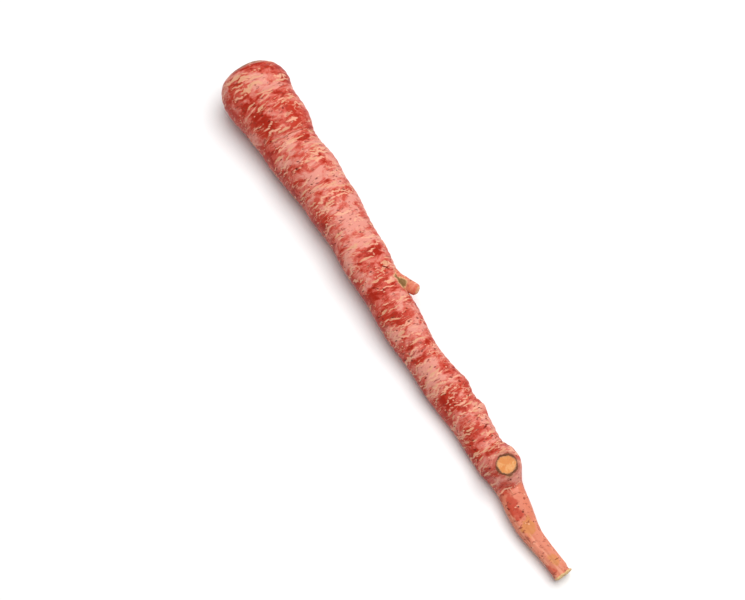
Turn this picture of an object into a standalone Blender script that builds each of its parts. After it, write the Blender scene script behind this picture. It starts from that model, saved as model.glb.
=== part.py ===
"""A long red carrot with its leaves trimmed off, lying on a table.

The taproot is one grown solid: a domed crown with a hollow in its top, a long lumpy body, a
tail that swings aside, a tip cut square, and two stumps where side roots were. The cut bases
of the leaf stalks stand in the hollow as solids of their own.

Metres, +Z up. The root lies along X with its crown at -X and its tip at +X, on the plane z = 0.
"""

import math

import bmesh
import bpy
import numpy as np
from mathutils import Matrix, Vector

MM = 0.001

# Driving dimensions, in millimetres.
LENGTH = 273.0  # from the rim of the crown's hollow to the cut tip, along X
CROWN_RADIUS = 16.2  # at the shoulder, the widest place
SHOULDER_AT = 12.5  # how far below the rim the shoulder is widest
DOME_FULLNESS = 2.2  # 2 is a round shoulder, more is a squarer one
HOLLOW_RADIUS = 7.3  # of the hollow that holds the leaf stalks
HOLLOW_DEPTH = 3.2
HOLLOW_LIP = 0.5  # how much wider the hollow is at its rim
TIP_RADIUS = 4.1
TIP_ROUNDING = 0.9  # the worn edge of the cut tip
PRESSED_FLAT = 0.35  # how much the underside is flattened where it rests
GAP = 0.3  # between one solid and the next

# The body's radius at distances from the rim, as shares of the crown's radius.
BODY_OUTLINE = (
    (12.5, 1.000),
    (20.0, 0.945),
    (33.0, 0.885),
    (40.0, 0.780),
    (48.0, 0.785),
    (59.0, 0.820),
    (70.0, 0.722),
    (78.0, 0.728),
    (97.0, 0.675),
    (107.0, 0.672),
    (124.0, 0.628),
    (144.0, 0.590),
    (162.0, 0.538),
    (176.0, 0.548),
    (198.0, 0.508),
    (210.0, 0.462),
    (218.0, 0.515),
    (224.0, 0.448),
    (229.0, 0.382),
    (238.0, 0.347),
    (250.0, 0.306),
    (262.0, 0.268),
    (273.0, 0.243),
)

# How far the middle line swings sideways (+Y), at distances from the rim.
SIDEWAYS = (
    (0.0, 1.4),
    (15.0, -0.2),
    (30.0, 0.7),
    (42.0, 0.0),
    (60.0, 1.1),
    (80.0, 1.2),
    (105.0, 0.0),
    (135.0, -1.4),
    (160.0, -1.9),
    (182.0, -0.9),
    (200.0, -0.6),
    (210.0, -1.0),
    (219.0, -0.4),
    (230.0, -1.8),
    (250.0, -4.3),
    (262.0, -3.2),
    (273.0, -1.9),
)

# How far the underside hangs clear of the table. Negative values are pressed flat.
CLEAR_OF_TABLE = (
    (0.0, 1.2),
    (13.0, -PRESSED_FLAT),
    (40.0, -PRESSED_FLAT),
    (75.0, 0.9),
    (120.0, 1.2),
    (160.0, 0.6),
    (185.0, -PRESSED_FLAT),
    (222.0, -PRESSED_FLAT),
    (245.0, 0.8),
    (273.0, 1.0),
)

# Swellings: distance from the rim, turn about the root in degrees, height, and half length
# along and around the root. A turn of 0 faces +Y, and 90 faces up.
SWELLINGS = (
    (179.5, 12.0, 1.2, 4.2, 5.5),
    (192.5, 8.0, 1.5, 3.8, 4.5),
    (218.5, 82.0, 1.1, 5.0, 6.0),
    (218.0, 26.0, 1.1, 5.0, 5.0),
)

# Side root stumps: distance from the rim, turn, lean towards the tip in degrees, how deep under
# the surface it starts, its whole length, and its radius at its foot and at its end.
CUT_STUMP = dict(at=219.8, turn=82.0, lean=2.0, depth=5.0, length=7.5, foot=6.0, end=4.4)
BROKEN_STUMP = dict(at=120.5, turn=22.0, lean=57.0, depth=3.8, length=14.5, foot=3.4, end=2.7)

RING_SIDES = 28
RING_SPACING = 3.3
STUMP_SIDES = 20

# Leaf stalk bases: middle radius, thickness, turn and half width in degrees, height of its cut
# top above the hollow's floor.
STALK_BASES = (
    (5.45, 1.8, 20.0, 37.0, 3.7),
    (5.45, 1.9, 108.0, 38.0, 4.3),
    (5.45, 1.8, 196.0, 37.0, 3.9),
    (5.45, 1.9, 284.0, 38.0, 3.4),
    (3.15, 1.5, 62.0, 50.0, 4.5),
    (3.15, 1.5, 182.0, 50.0, 4.0),
    (3.15, 1.5, 302.0, 50.0, 3.6),
)
HEART_RADIUS = 1.75
HEART_HEIGHT = 3.9
HEART_SIDES = 12
ARC_STEPS = 8

CARROT_RED = (0.60, 0.10, 0.06, 1.0)
DRY_STALK = (0.42, 0.30, 0.14, 1.0)


def through(stations, at):
    """A smooth curve through the stations, read at the given places (cubic Hermite pieces)."""
    x, y = np.array(stations, float).T
    slope = np.gradient(y, x)
    i = np.clip(np.searchsorted(x, at) - 1, 0, len(x) - 2)
    step = x[i + 1] - x[i]
    f = np.clip((at - x[i]) / step, 0.0, 1.0)
    return (
        y[i] * (1 + 2 * f) * (1 - f) ** 2
        + slope[i] * step * f * (1 - f) ** 2
        + y[i + 1] * f * f * (3 - 2 * f)
        + slope[i + 1] * step * f * f * (f - 1)
    )


def body_radius(at):
    """The root's mean radius, below the shoulder from its outline and above it a quarter oval."""
    below = CROWN_RADIUS * through(BODY_OUTLINE, np.maximum(at, SHOULDER_AT))
    up = np.clip((SHOULDER_AT - at) / SHOULDER_AT, 0.0, 1.0)
    rim = HOLLOW_RADIUS + HOLLOW_LIP
    dome = rim + (CROWN_RADIUS - rim) * np.sqrt(1.0 - up**DOME_FULLNESS)
    return np.where(at < SHOULDER_AT, dome, below)


def middle_line(at):
    """The root's middle line: along X, swinging sideways, and as high as its underside needs."""
    height = body_radius(np.maximum(at, SHOULDER_AT)) + through(CLEAR_OF_TABLE, at)
    return np.stack([at - LENGTH / 2, through(SIDEWAYS, at), height], axis=-1)


def frame_at(at):
    """A place on the middle line, and there the directions along the root, sideways and up."""
    here, ahead = middle_line(np.array([at, at + 0.5]))
    behind = middle_line(np.array([at - 0.5]))[0]
    along = Vector(ahead - behind).normalized()
    side = Vector((0, 0, 1)).cross(along).normalized()
    return Vector(here), along, side, along.cross(side)


def unevenness(at, turn):
    """How far the surface stands off the round: slow waves, and each swelling as a bell curve."""
    off = 0.35 * np.sin(2 * turn + at / 31.0) + 0.22 * np.sin(3 * turn - at / 19.0)
    off += 0.30 * np.sin(at / 5.3 + 1.2 * np.sin(turn))
    for place, degrees, height, half_length, half_width in SWELLINGS:
        around = (turn - math.radians(degrees) + math.pi) % (2 * math.pi) - math.pi
        width = half_width / max(float(body_radius(np.array(place))), 1.0)
        off += height * np.exp(-(((at - place) / half_length) ** 2) - (around / width) ** 2)
    return off


def ring(at, radius, evenness=1.0):
    """One ring of points around the root, in millimetres, pressed flat at the table."""
    place, _, side, up = frame_at(at)
    points = []
    for k in range(RING_SIDES):
        turn = 2 * math.pi * k / RING_SIDES
        r = radius + evenness * float(unevenness(at, turn))
        point = place + r * (math.cos(turn) * side + math.sin(turn) * up)
        point.z = max(point.z, 0.0)
        points.append(point)
    return points


def root_rings():
    """The rings in order: out of the hollow, over the rim, down the body and round the tip."""
    rings = [
        ring(HOLLOW_DEPTH, 0.45 * HOLLOW_RADIUS, 0.0),
        ring(HOLLOW_DEPTH, 0.94 * HOLLOW_RADIUS, 0.0),
        ring(0.35 * HOLLOW_DEPTH, HOLLOW_RADIUS, 0.0),
        ring(0.0, HOLLOW_RADIUS + HOLLOW_LIP, 0.0),
    ]
    for share in (0.02, 0.08, 0.18, 0.33, 0.52, 0.76):
        at = share * SHOULDER_AT
        rings.append(ring(at, float(body_radius(np.array(at))), share))
    straight = LENGTH - SHOULDER_AT - TIP_ROUNDING
    count = round(straight / RING_SPACING)
    for k in range(count + 1):
        at = SHOULDER_AT + straight * k / count
        rings.append(ring(at, float(body_radius(np.array(at)))))
    rings.append(ring(LENGTH - 0.25 * TIP_ROUNDING, TIP_RADIUS - 0.3 * TIP_ROUNDING, 0.6))
    rings.append(ring(LENGTH, TIP_RADIUS - TIP_ROUNDING, 0.3))
    return rings


def new_empty(name, parent=None):
    """An empty, to hang pieces on."""
    empty = bpy.data.objects.new(name, None)
    bpy.context.scene.collection.objects.link(empty)
    empty.parent = parent
    return empty


def new_object(name, mesh, material, parent):
    """A linked object with one material, shaded smooth except at its cut edges."""
    obj = bpy.data.objects.new(name, mesh)
    bpy.context.scene.collection.objects.link(obj)
    mesh.materials.append(material)
    mesh.shade_smooth()
    mesh.set_sharp_from_angle(angle=math.radians(40))
    obj.parent = parent
    return obj


def principled(name, colour, roughness):
    """A plain Principled material."""
    material = bpy.data.materials.new(name)
    material.use_nodes = True
    shader = material.node_tree.nodes["Principled BSDF"]
    shader.inputs["Base Color"].default_value = colour
    shader.inputs["Roughness"].default_value = roughness
    shader.inputs["Metallic"].default_value = 0.0
    return material


def make_root(material, carrot):
    """The taproot: rings bridged one to the next, with the hollow's floor and the tip closed."""
    bm = bmesh.new()
    loops = []
    for points in root_rings():
        verts = [bm.verts.new(p * MM) for p in points]
        loops.append([bm.edges.new((verts[k - 1], verts[k])) for k in range(RING_SIDES)])
    for first, second in zip(loops, loops[1:]):
        bmesh.ops.bridge_loops(bm, edges=first + second)
    bmesh.ops.contextual_create(bm, geom=loops[0])
    bmesh.ops.contextual_create(bm, geom=loops[-1])
    bmesh.ops.recalc_face_normals(bm, faces=bm.faces)
    mesh = bpy.data.meshes.new("taproot")
    bm.to_mesh(mesh)
    bm.free()
    return new_object("taproot", mesh, material, carrot)


def add_stump(root, name, at, turn, lean, depth, length, foot, end):
    """Joins a side root's stump to the root: a tapered plug that starts under the surface."""
    place, along, side, up = frame_at(at)
    out = math.cos(math.radians(turn)) * side + math.sin(math.radians(turn)) * up
    tilt = math.radians(lean)
    way = math.cos(tilt) * out + math.sin(tilt) * along
    start = place + out * (float(body_radius(np.array(at))) - depth)
    bm = bmesh.new()
    bmesh.ops.create_cone(
        bm, cap_ends=True, segments=STUMP_SIDES, radius1=foot, radius2=end, depth=length
    )
    mesh = bpy.data.meshes.new(name)
    bm.to_mesh(mesh)
    bm.free()
    plug = bpy.data.objects.new(name, mesh)
    bpy.context.scene.collection.objects.link(plug)
    plug.parent = root.parent
    turn_to = way.to_track_quat("Z", "Y").to_matrix().to_4x4()
    mesh.transform(Matrix.Scale(MM, 4) @ Matrix.Translation(start + way * length / 2) @ turn_to)
    plug.hide_render = True
    plug.display_type = "WIRE"
    join = root.modifiers.new(name, "BOOLEAN")
    join.operation = "UNION"
    join.object = plug


def crescent(middle, thickness, half_width):
    """A stalk's outline: two arcs about the heart that meet in thin ends, as flat points."""
    outline = []
    for sign in (1, -1):
        for k in range(ARC_STEPS + 1):
            share = 2 * k / ARC_STEPS - 1
            turn = math.radians(half_width * share * sign)
            thick = thickness / 2 * math.sqrt(max(1 - share**2, 0.06))
            r = middle + sign * thick
            outline.append(Vector((r * math.cos(turn), r * math.sin(turn), 0.0)))
    return outline


def add_stalk(name, outline, turn, height, material, crown):
    """One leaf stalk's cut base: its outline drawn up from the hollow's floor, a little tapered
    and cut on a slant."""
    bm = bmesh.new()
    face = bm.faces.new([bm.verts.new(p * MM) for p in outline])
    grown = bmesh.ops.extrude_face_region(bm, geom=[face])["geom"]
    for vert in (v for v in grown if isinstance(v, bmesh.types.BMVert)):
        slant = 0.10 * (vert.co.x - vert.co.y)
        vert.co.z += height * MM + slant
        vert.co.x *= 0.97
        vert.co.y *= 0.97
    bmesh.ops.recalc_face_normals(bm, faces=bm.faces)
    mesh = bpy.data.meshes.new(name)
    bm.to_mesh(mesh)
    bm.free()
    stalk = new_object(name, mesh, material, crown)
    stalk.rotation_euler.z = math.radians(turn)
    stalk.location.z = GAP * MM
    return stalk


def make_crown_frame(carrot):
    """An empty on the hollow's floor, its Z pointing out of the crown."""
    place, along, side, _ = frame_at(HOLLOW_DEPTH)
    crown = new_empty("crown", carrot)
    out = -along
    axes = Matrix((side, out.cross(side), out)).transposed()
    crown.matrix_local = Matrix.Translation(place * MM) @ axes.to_4x4()
    return crown


def centre_on_origin(carrot, pieces):
    """Moves the carrot so that the box around its pieces, seen from above, is centred on the
    origin. Its underside is on the table already."""
    bpy.context.view_layer.update()
    depsgraph = bpy.context.evaluated_depsgraph_get()
    points = []
    for piece in pieces:
        solid = piece.evaluated_get(depsgraph)
        points += [solid.matrix_world @ vert.co for vert in solid.data.vertices]
    for axis in (0, 1):
        across = [point[axis] for point in points]
        carrot.location[axis] -= (min(across) + max(across)) / 2


def main():
    for obj in list(bpy.data.objects):
        bpy.data.objects.remove(obj)
    skin = principled("carrot_skin", CARROT_RED, 0.45)
    dry = principled("dry_stalk", DRY_STALK, 0.85)
    carrot = new_empty("carrot")
    root = make_root(skin, carrot)
    add_stump(root, "cut_side_root", **CUT_STUMP)
    add_stump(root, "broken_side_root", **BROKEN_STUMP)
    crown = make_crown_frame(carrot)
    pieces = [root]
    for number, (middle, thickness, turn, half_width, height) in enumerate(STALK_BASES, 1):
        outline = crescent(middle, thickness, half_width)
        pieces.append(add_stalk(f"stalk_base_{number}", outline, turn, height, dry, crown))
    heart = []
    for k in range(HEART_SIDES):
        turn = 2 * math.pi * k / HEART_SIDES
        heart.append(HEART_RADIUS * Vector((math.cos(turn), math.sin(turn), 0.0)))
    pieces.append(add_stalk("heart_bud", heart, 0.0, HEART_HEIGHT, dry, crown))
    centre_on_origin(carrot, pieces)


main()
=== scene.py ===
"""The finish of a long red carrot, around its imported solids.

The root's skin, its two side root stumps, the cut leaf stalks in its crown and its fine rootlets
are surfaces worked out with numpy. Lengths below are in millimetres of the carrot.
"""

import itertools
import math

import bmesh
import bpy
import numpy as np
from bpy.props import FloatProperty, FloatVectorProperty, IntProperty, PointerProperty
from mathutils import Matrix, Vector


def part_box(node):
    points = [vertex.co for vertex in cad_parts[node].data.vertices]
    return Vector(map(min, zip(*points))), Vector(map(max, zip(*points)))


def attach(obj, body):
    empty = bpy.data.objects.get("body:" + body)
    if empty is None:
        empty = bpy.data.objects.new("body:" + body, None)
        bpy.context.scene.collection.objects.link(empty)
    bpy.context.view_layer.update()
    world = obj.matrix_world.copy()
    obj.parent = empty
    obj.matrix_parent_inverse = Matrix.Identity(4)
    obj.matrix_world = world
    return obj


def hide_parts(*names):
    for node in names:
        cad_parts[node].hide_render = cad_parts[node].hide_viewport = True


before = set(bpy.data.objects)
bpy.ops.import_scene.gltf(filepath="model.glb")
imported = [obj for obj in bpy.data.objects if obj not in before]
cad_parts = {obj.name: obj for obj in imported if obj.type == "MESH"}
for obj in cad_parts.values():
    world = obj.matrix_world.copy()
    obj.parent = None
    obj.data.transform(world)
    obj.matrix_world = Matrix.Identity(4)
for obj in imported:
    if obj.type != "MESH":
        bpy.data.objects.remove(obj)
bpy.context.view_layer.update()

bl_info = {
    "name": "Red Carrot",
    "version": (1, 0, 0),
    "blender": (4, 5, 0),
    "location": "View3D > Sidebar > Carrot",
    "description": "Makes the skin, stumps, leaf stalk bases and rootlets of a red carrot",
    "category": "Object",
}

ROOT_LOW, ROOT_HIGH = (np.array(corner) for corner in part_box("taproot"))

# The root's own dimensions.
LENGTH = 273.0  # from the rim of the crown's hollow to the cut tip
CROWN_RADIUS = 16.2
SHOULDER_AT = 12.5
DOME_FULLNESS = 2.6
HOLLOW_RADIUS = 7.3
HOLLOW_DEPTH = 3.2
HOLLOW_LIP = 0.5
TIP_RADIUS = 4.1
TIP_ROUNDING = 0.9
PRESSED_FLAT = 0.35
ROOT_SPAN = 274.11  # of the whole root along X, tilted crown and all
MM = float(ROOT_HIGH[0] - ROOT_LOW[0]) / ROOT_SPAN

# The body's radius at distances from the rim, as shares of the crown's radius.
BODY_OUTLINE = (
    (12.5, 1.000),
    (20.0, 0.945),
    (33.0, 0.885),
    (40.0, 0.780),
    (48.0, 0.785),
    (59.0, 0.820),
    (70.0, 0.722),
    (78.0, 0.728),
    (97.0, 0.675),
    (107.0, 0.672),
    (124.0, 0.628),
    (144.0, 0.590),
    (162.0, 0.538),
    (176.0, 0.548),
    (198.0, 0.508),
    (210.0, 0.462),
    (218.0, 0.515),
    (224.0, 0.448),
    (229.0, 0.382),
    (238.0, 0.347),
    (250.0, 0.306),
    (262.0, 0.268),
    (273.0, 0.243),
)

# How far the middle line swings sideways (+Y), at distances from the rim.
SIDEWAYS = (
    (0.0, 1.4),
    (15.0, -0.2),
    (30.0, 0.7),
    (42.0, 0.0),
    (60.0, 1.1),
    (80.0, 1.2),
    (105.0, 0.0),
    (135.0, -1.4),
    (160.0, -1.9),
    (182.0, -0.9),
    (200.0, -0.6),
    (210.0, -1.0),
    (219.0, -0.4),
    (230.0, -1.8),
    (250.0, -4.3),
    (262.0, -3.2),
    (273.0, -1.9),
)

# How far the underside hangs clear of the table. Negative values are pressed flat.
CLEAR_OF_TABLE = (
    (0.0, 1.2),
    (13.0, -PRESSED_FLAT),
    (40.0, -PRESSED_FLAT),
    (75.0, 0.9),
    (120.0, 1.2),
    (160.0, 0.6),
    (185.0, -PRESSED_FLAT),
    (222.0, -PRESSED_FLAT),
    (245.0, 0.8),
    (273.0, 1.0),
)

# Swellings: distance from the rim, turn about the root in degrees, height, and half length
# along and around the root. A turn of 0 faces +Y, and 90 faces up.
SWELLINGS = (
    (179.5, 12.0, 1.2, 4.2, 5.5),
    (192.5, 8.0, 1.5, 3.8, 4.5),
    (218.5, 82.0, 1.1, 5.0, 6.0),
    (218.0, 26.0, 1.1, 5.0, 5.0),
)

# The side root stumps, as the solids have them.
CUT_STUMP = dict(at=219.8, turn=82.0, lean=2.0, depth=5.0, length=7.5, end=4.4)
BROKEN_STUMP = dict(at=120.5, turn=22.0, lean=57.0, depth=3.8, length=14.5, foot=3.4, end=2.7)

# Leaf stalk bases: middle radius, thickness, turn and half width in degrees, and height.
STALK_BASES = (
    (5.45, 1.8, 20.0, 37.0, 3.7),
    (5.45, 1.9, 108.0, 38.0, 4.3),
    (5.45, 1.8, 196.0, 37.0, 3.9),
    (5.45, 1.9, 284.0, 38.0, 3.4),
    (3.15, 1.5, 62.0, 50.0, 4.5),
    (3.15, 1.5, 182.0, 50.0, 4.0),
    (3.15, 1.5, 302.0, 50.0, 3.6),
)
HEART_RADIUS = 1.75
HEART_HEIGHT = 3.9

# The mesh of the skin: rings over the hollow's floor, up its wall and along the body, and
# points around each ring.
FLOOR_RINGS = 12
WALL_RINGS = 13
BODY_RINGS = 640
AROUND = 132


# ---------------------------------------------------------------- numbers


def srgb(hex_colour):
    """The linear colour of an sRGB hex value."""
    parts = [int(hex_colour[k : k + 2], 16) / 255 for k in (1, 3, 5)]
    return tuple(p / 12.92 if p <= 0.04045 else ((p + 0.055) / 1.055) ** 2.4 for p in parts)


def smooth(low, high, x):
    """0 below low, 1 above high, and an S-shaped rise between them."""
    f = np.clip((x - low) / (high - low), 0.0, 1.0)
    return f * f * (3 - 2 * f)


def noise(points, size, seed):
    """Random values at the corners of cubes of the given size, blended across each cube with
    an S-shaped weight. It runs from 0 to 1."""
    points = np.asarray(points, float) / size + 100.0
    cell = np.floor(points).astype(np.uint64)
    part = smooth(0.0, 1.0, points - cell)
    total = np.zeros(points.shape[:-1])
    for corner in itertools.product((0, 1), repeat=3):
        x, y, z = (cell + np.array(corner, np.uint64)).transpose(-1, *range(points.ndim - 1))
        mixed = x * np.uint64(73856093) ^ y * np.uint64(19349663) ^ z * np.uint64(83492791)
        mixed = (mixed + np.uint64(seed * 7919)) * np.uint64(2654435761)
        mixed ^= mixed >> np.uint64(15)
        mixed = mixed * np.uint64(2246822519)
        value = (mixed >> np.uint64(20)) % np.uint64(65536)
        weight = np.prod(np.where(np.array(corner) == 1, part, 1 - part), axis=-1)
        total += weight * value.astype(float) / 65535
    return total


def layered(points, size, seed, layers=3):
    """Noise with finer and weaker noise added to it, each layer half the size of the last."""
    total = np.zeros(np.shape(points)[:-1])
    for k in range(layers):
        total += noise(points, size / 2**k, seed + k) / 2**k
    return total / (2 - 2 ** (1 - layers))


def through(stations, at):
    """A smooth curve through the stations, read at the given places (cubic Hermite pieces)."""
    x, y = np.array(stations, float).T
    slope = np.gradient(y, x)
    i = np.clip(np.searchsorted(x, at) - 1, 0, len(x) - 2)
    step = x[i + 1] - x[i]
    f = np.clip((at - x[i]) / step, 0.0, 1.0)
    return (
        y[i] * (1 + 2 * f) * (1 - f) ** 2
        + slope[i] * step * f * (1 - f) ** 2
        + y[i + 1] * f * f * (3 - 2 * f)
        + slope[i + 1] * step * f * f * (f - 1)
    )


# ---------------------------------------------------------------- the root's shape


def body_radius(at):
    """The root's mean radius, below the shoulder from its outline and above it a quarter oval."""
    below = CROWN_RADIUS * through(BODY_OUTLINE, np.maximum(at, SHOULDER_AT))
    up = np.clip((SHOULDER_AT - at) / SHOULDER_AT, 0.0, 1.0)
    rim = HOLLOW_RADIUS + HOLLOW_LIP
    dome = rim + (CROWN_RADIUS - rim) * np.sqrt(1.0 - up**DOME_FULLNESS)
    return np.where(at < SHOULDER_AT, dome, below)


def middle_line(at):
    """The root's middle line: along X, swinging sideways, and as high as its underside needs."""
    height = body_radius(np.maximum(at, SHOULDER_AT)) + through(CLEAR_OF_TABLE, at)
    return np.stack([at - LENGTH / 2, through(SIDEWAYS, at), height], axis=-1)


def frames_at(at):
    """Places on the middle line, and there the directions along the root, sideways and up."""
    at = np.asarray(at, float)
    along = middle_line(at + 0.5) - middle_line(at - 0.5)
    along /= np.linalg.norm(along, axis=-1, keepdims=True)
    side = np.cross((0.0, 0.0, 1.0), along)
    side /= np.linalg.norm(side, axis=-1, keepdims=True)
    return middle_line(at), along, side, np.cross(along, side)


def around_from(turn, degrees):
    """The turn from an angle in degrees, between minus and plus half a circle."""
    return (turn - np.radians(degrees) + np.pi) % (2 * np.pi) - np.pi


def unevenness(at, turn):
    """How far the surface stands off the round: slow waves, and each swelling as a bell curve."""
    off = 0.35 * np.sin(2 * turn + at / 31.0) + 0.22 * np.sin(3 * turn - at / 19.0)
    off = off + 0.30 * np.sin(at / 5.3 + 1.2 * np.sin(turn))
    for place, degrees, height, half_length, half_width in SWELLINGS:
        width = half_width / max(float(body_radius(np.array(place))), 1.0)
        across = around_from(turn, degrees) / width
        off = off + height * np.exp(-(((at - place) / half_length) ** 2) - across**2)
    return off


def skin_rings():
    """The skin's rings in order: distance from the rim, radius and how uneven. They run out of
    the hollow, over its rim, down the body and round the cut tip."""
    floor = np.linspace(0.3, 0.94 * HOLLOW_RADIUS, FLOOR_RINGS)
    wall = np.linspace(0.0, 1.0, WALL_RINGS + 1)[1:]
    arc = np.sin(np.linspace(0.0, np.pi / 2, 46)[1:]) ** 2
    spread = np.linspace(0.0, 1.0, BODY_RINGS)[1:]
    body_end = LENGTH - TIP_ROUNDING
    edge = np.linspace(0.0, np.pi / 2, 8)[1:]
    face = np.linspace(1.0, 0.1, 12)[1:]
    dome_at = SHOULDER_AT * arc
    body_at = SHOULDER_AT + (body_end - SHOULDER_AT) * spread
    inner = TIP_RADIUS - TIP_ROUNDING
    at = np.concatenate([
        np.full(FLOOR_RINGS, HOLLOW_DEPTH),
        HOLLOW_DEPTH * (1 - wall),
        dome_at,
        body_at,
        body_end + TIP_ROUNDING * np.sin(edge),
        np.full(11, LENGTH),
    ])
    radius = np.concatenate([
        floor,
        HOLLOW_RADIUS * (0.94 + 0.06 * smooth(0, 0.3, wall)) + HOLLOW_LIP * wall**3,
        body_radius(dome_at),
        body_radius(body_at),
        inner + (float(body_radius(np.array(body_end))) - inner) * np.cos(edge),
        inner * face,
    ])
    even = np.concatenate([
        np.zeros(FLOOR_RINGS + WALL_RINGS), arc, np.ones(BODY_RINGS - 1),
        0.3 + 0.7 * np.cos(edge), 0.3 * face,
    ])
    return at, radius, even


def stump_frame(stump):
    """Where a side root's stump starts, which way it points, and its length."""
    place, along, side, up = frames_at(stump["at"])
    turn, lean = math.radians(stump["turn"]), math.radians(stump["lean"])
    out = math.cos(turn) * side + math.sin(turn) * up
    way = math.cos(lean) * out + math.sin(lean) * along
    reach = float(body_radius(np.array(stump["at"]))) - stump["depth"]
    return place + out * reach, way, stump["length"]


def distance_to(stump, points):
    """How far points are from the middle line of a stump, and how far past its end."""
    start, way, length = stump_frame(stump)
    past = (points - start) @ way
    away = np.linalg.norm(points - start - past[..., None] * way, axis=-1)
    return away, past - length


# ---------------------------------------------------------------- meshes


def home_of_root():
    """The shift that puts the root where the frame has it."""
    at = np.linspace(0.0, LENGTH, 400)[:, None]
    turn = np.linspace(0.0, 2 * np.pi, 90)[None, :]
    place, _, side, up = frames_at(at[:, 0])
    radius = body_radius(at) + unevenness(at, turn) * np.clip(at / SHOULDER_AT, 0, 1)
    points = place[:, None] + radius[..., None] * (
        np.cos(turn)[..., None] * side[:, None] + np.sin(turn)[..., None] * up[:, None]
    )
    low, high = points.min((0, 1)) * MM, points.max((0, 1)) * MM
    shift = (ROOT_LOW + ROOT_HIGH) / 2 - (low + high) / 2
    return shift[0], ROOT_LOW[1] - low[1], 0.0


HOME = home_of_root()


def to_world(points):
    """Millimetres of the carrot to metres where the frame has it."""
    return points * MM + np.array(HOME)


def surface(name, points, fields, material, replaces=(), capped=True):
    """A mesh over one grid of points or a stack of them. Each row closes round on itself. A
    point in the middle closes each end, or the end rows are folded flat and welded. The faces
    are turned outwards by the sign of the enclosed volume."""
    points = points.reshape(-1, *points.shape[-3:])
    count, rows, cols, _ = points.shape
    verts = points.reshape(-1, 3)
    here = np.arange(count * rows * cols).reshape(count, rows, cols)
    right = np.roll(here, -1, axis=2)
    quads = np.stack([here[:, :-1], here[:, 1:], right[:, 1:], right[:, :-1]], axis=-1)
    quads = quads.reshape(-1, 4)
    fans = np.zeros((0, 3), int)
    if capped:
        first = np.repeat(len(verts) + np.arange(count), cols)
        fans = np.concatenate([
            np.stack([first, here[:, 0].ravel(), right[:, 0].ravel()], axis=-1),
            np.stack([first + count, right[:, -1].ravel(), here[:, -1].ravel()], axis=-1),
        ])
        verts = np.concatenate([verts, points[:, 0].mean(1), points[:, -1].mean(1)])
    halves = np.concatenate([quads[:, :3], quads[:, [0, 2, 3]], fans])
    a, b, c = (verts[halves[:, k]] - verts.mean(0) for k in range(3))
    if np.einsum("ij,ij->i", a, np.cross(b, c)).sum() < 0:
        quads, fans = quads[:, ::-1], fans[:, ::-1]
    mesh = bpy.data.meshes.new(name)
    mesh.vertices.add(len(verts))
    mesh.vertices.foreach_set("co", to_world(verts).ravel())
    loops = np.concatenate([quads.ravel(), fans.ravel()])
    mesh.loops.add(len(loops))
    mesh.loops.foreach_set("vertex_index", loops)
    sizes = np.concatenate([np.full(len(quads), 4), np.full(len(fans), 3)])
    mesh.polygons.add(len(sizes))
    mesh.polygons.foreach_set("loop_start", np.concatenate([[0], np.cumsum(sizes)[:-1]]))
    for field, values in fields.items():
        values = values.reshape(count, rows, cols, -1)
        width = values.shape[-1]
        ends = [values[:, 0].mean(1), values[:, -1].mean(1)] if capped else []
        values = np.concatenate([values.reshape(-1, width), *ends])
        kind, key = ("FLOAT_VECTOR", "vector") if width == 3 else ("FLOAT_COLOR", "color")
        mesh.attributes.new(field, kind, "POINT").data.foreach_set(key, values.ravel())
    mesh.update(calc_edges=True)
    if not capped:
        weld(mesh)
    mesh.validate()
    mesh.shade_smooth()
    return placed(name, mesh, material, replaces)


def weld(mesh):
    """Joins the points that lie together where the end rows are folded flat."""
    bm = bmesh.new()
    bm.from_mesh(mesh)
    bmesh.ops.remove_doubles(bm, verts=bm.verts, dist=1e-6)
    bm.to_mesh(mesh)
    bm.free()


def placed(name, mesh, material, replaces=()):
    """A linked object that rides on the root's body and stands for the named solids."""
    piece = bpy.data.objects.new(name, mesh)
    bpy.context.scene.collection.objects.link(piece)
    mesh.materials.append(material)
    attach(piece, "root")
    if replaces:
        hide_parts(*replaces)
    return piece


def normals_of(points):
    """The unit normals of a grid of points, from the slopes along its rows and columns."""
    down = np.gradient(points, axis=0)
    wrapped = np.concatenate([points[:, -1:], points, points[:, :1]], axis=1)
    across = (wrapped[:, 2:] - wrapped[:, :-2]) / 2
    normal = np.cross(across, down)
    length = np.linalg.norm(normal, axis=-1, keepdims=True)
    return normal / np.maximum(length, 1e-9)


# ---------------------------------------------------------------- marks on the skin


def lens_marks(rows, along, turn, radius, marks, wobble):
    """A field that is 1 in the middle of each lens-shaped mark and falls to 0 at its edge. A
    mark is its place along the root, turn, half width along, half length around, and slant."""
    field = np.zeros(along.shape)
    for place, degrees, half_width, half_length, slant in marks:
        near = np.abs(rows - place) < half_width + abs(slant) * half_length + 2.0
        across = around_from(turn[near], degrees) * radius[near]
        off = along[near] - place + slant * across + wobble[near] * min(half_length, 4.0) / 4.0
        reach = (off / half_width) ** 2 + (across / half_length) ** 2
        field[near] = np.maximum(field[near], 1 - np.sqrt(reach))
    return field


def scattered(rng, count, low, high, half_width, half_length, slant, lean=0.0):
    """Random marks between two places along the root, slanted either way about a lean."""
    return np.stack([
        rng.uniform(low, high, count),
        rng.uniform(-180, 180, count),
        rng.uniform(*half_width, count),
        rng.uniform(*half_length, count),
        lean + rng.uniform(-slant, slant, count),
    ], axis=-1)


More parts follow.
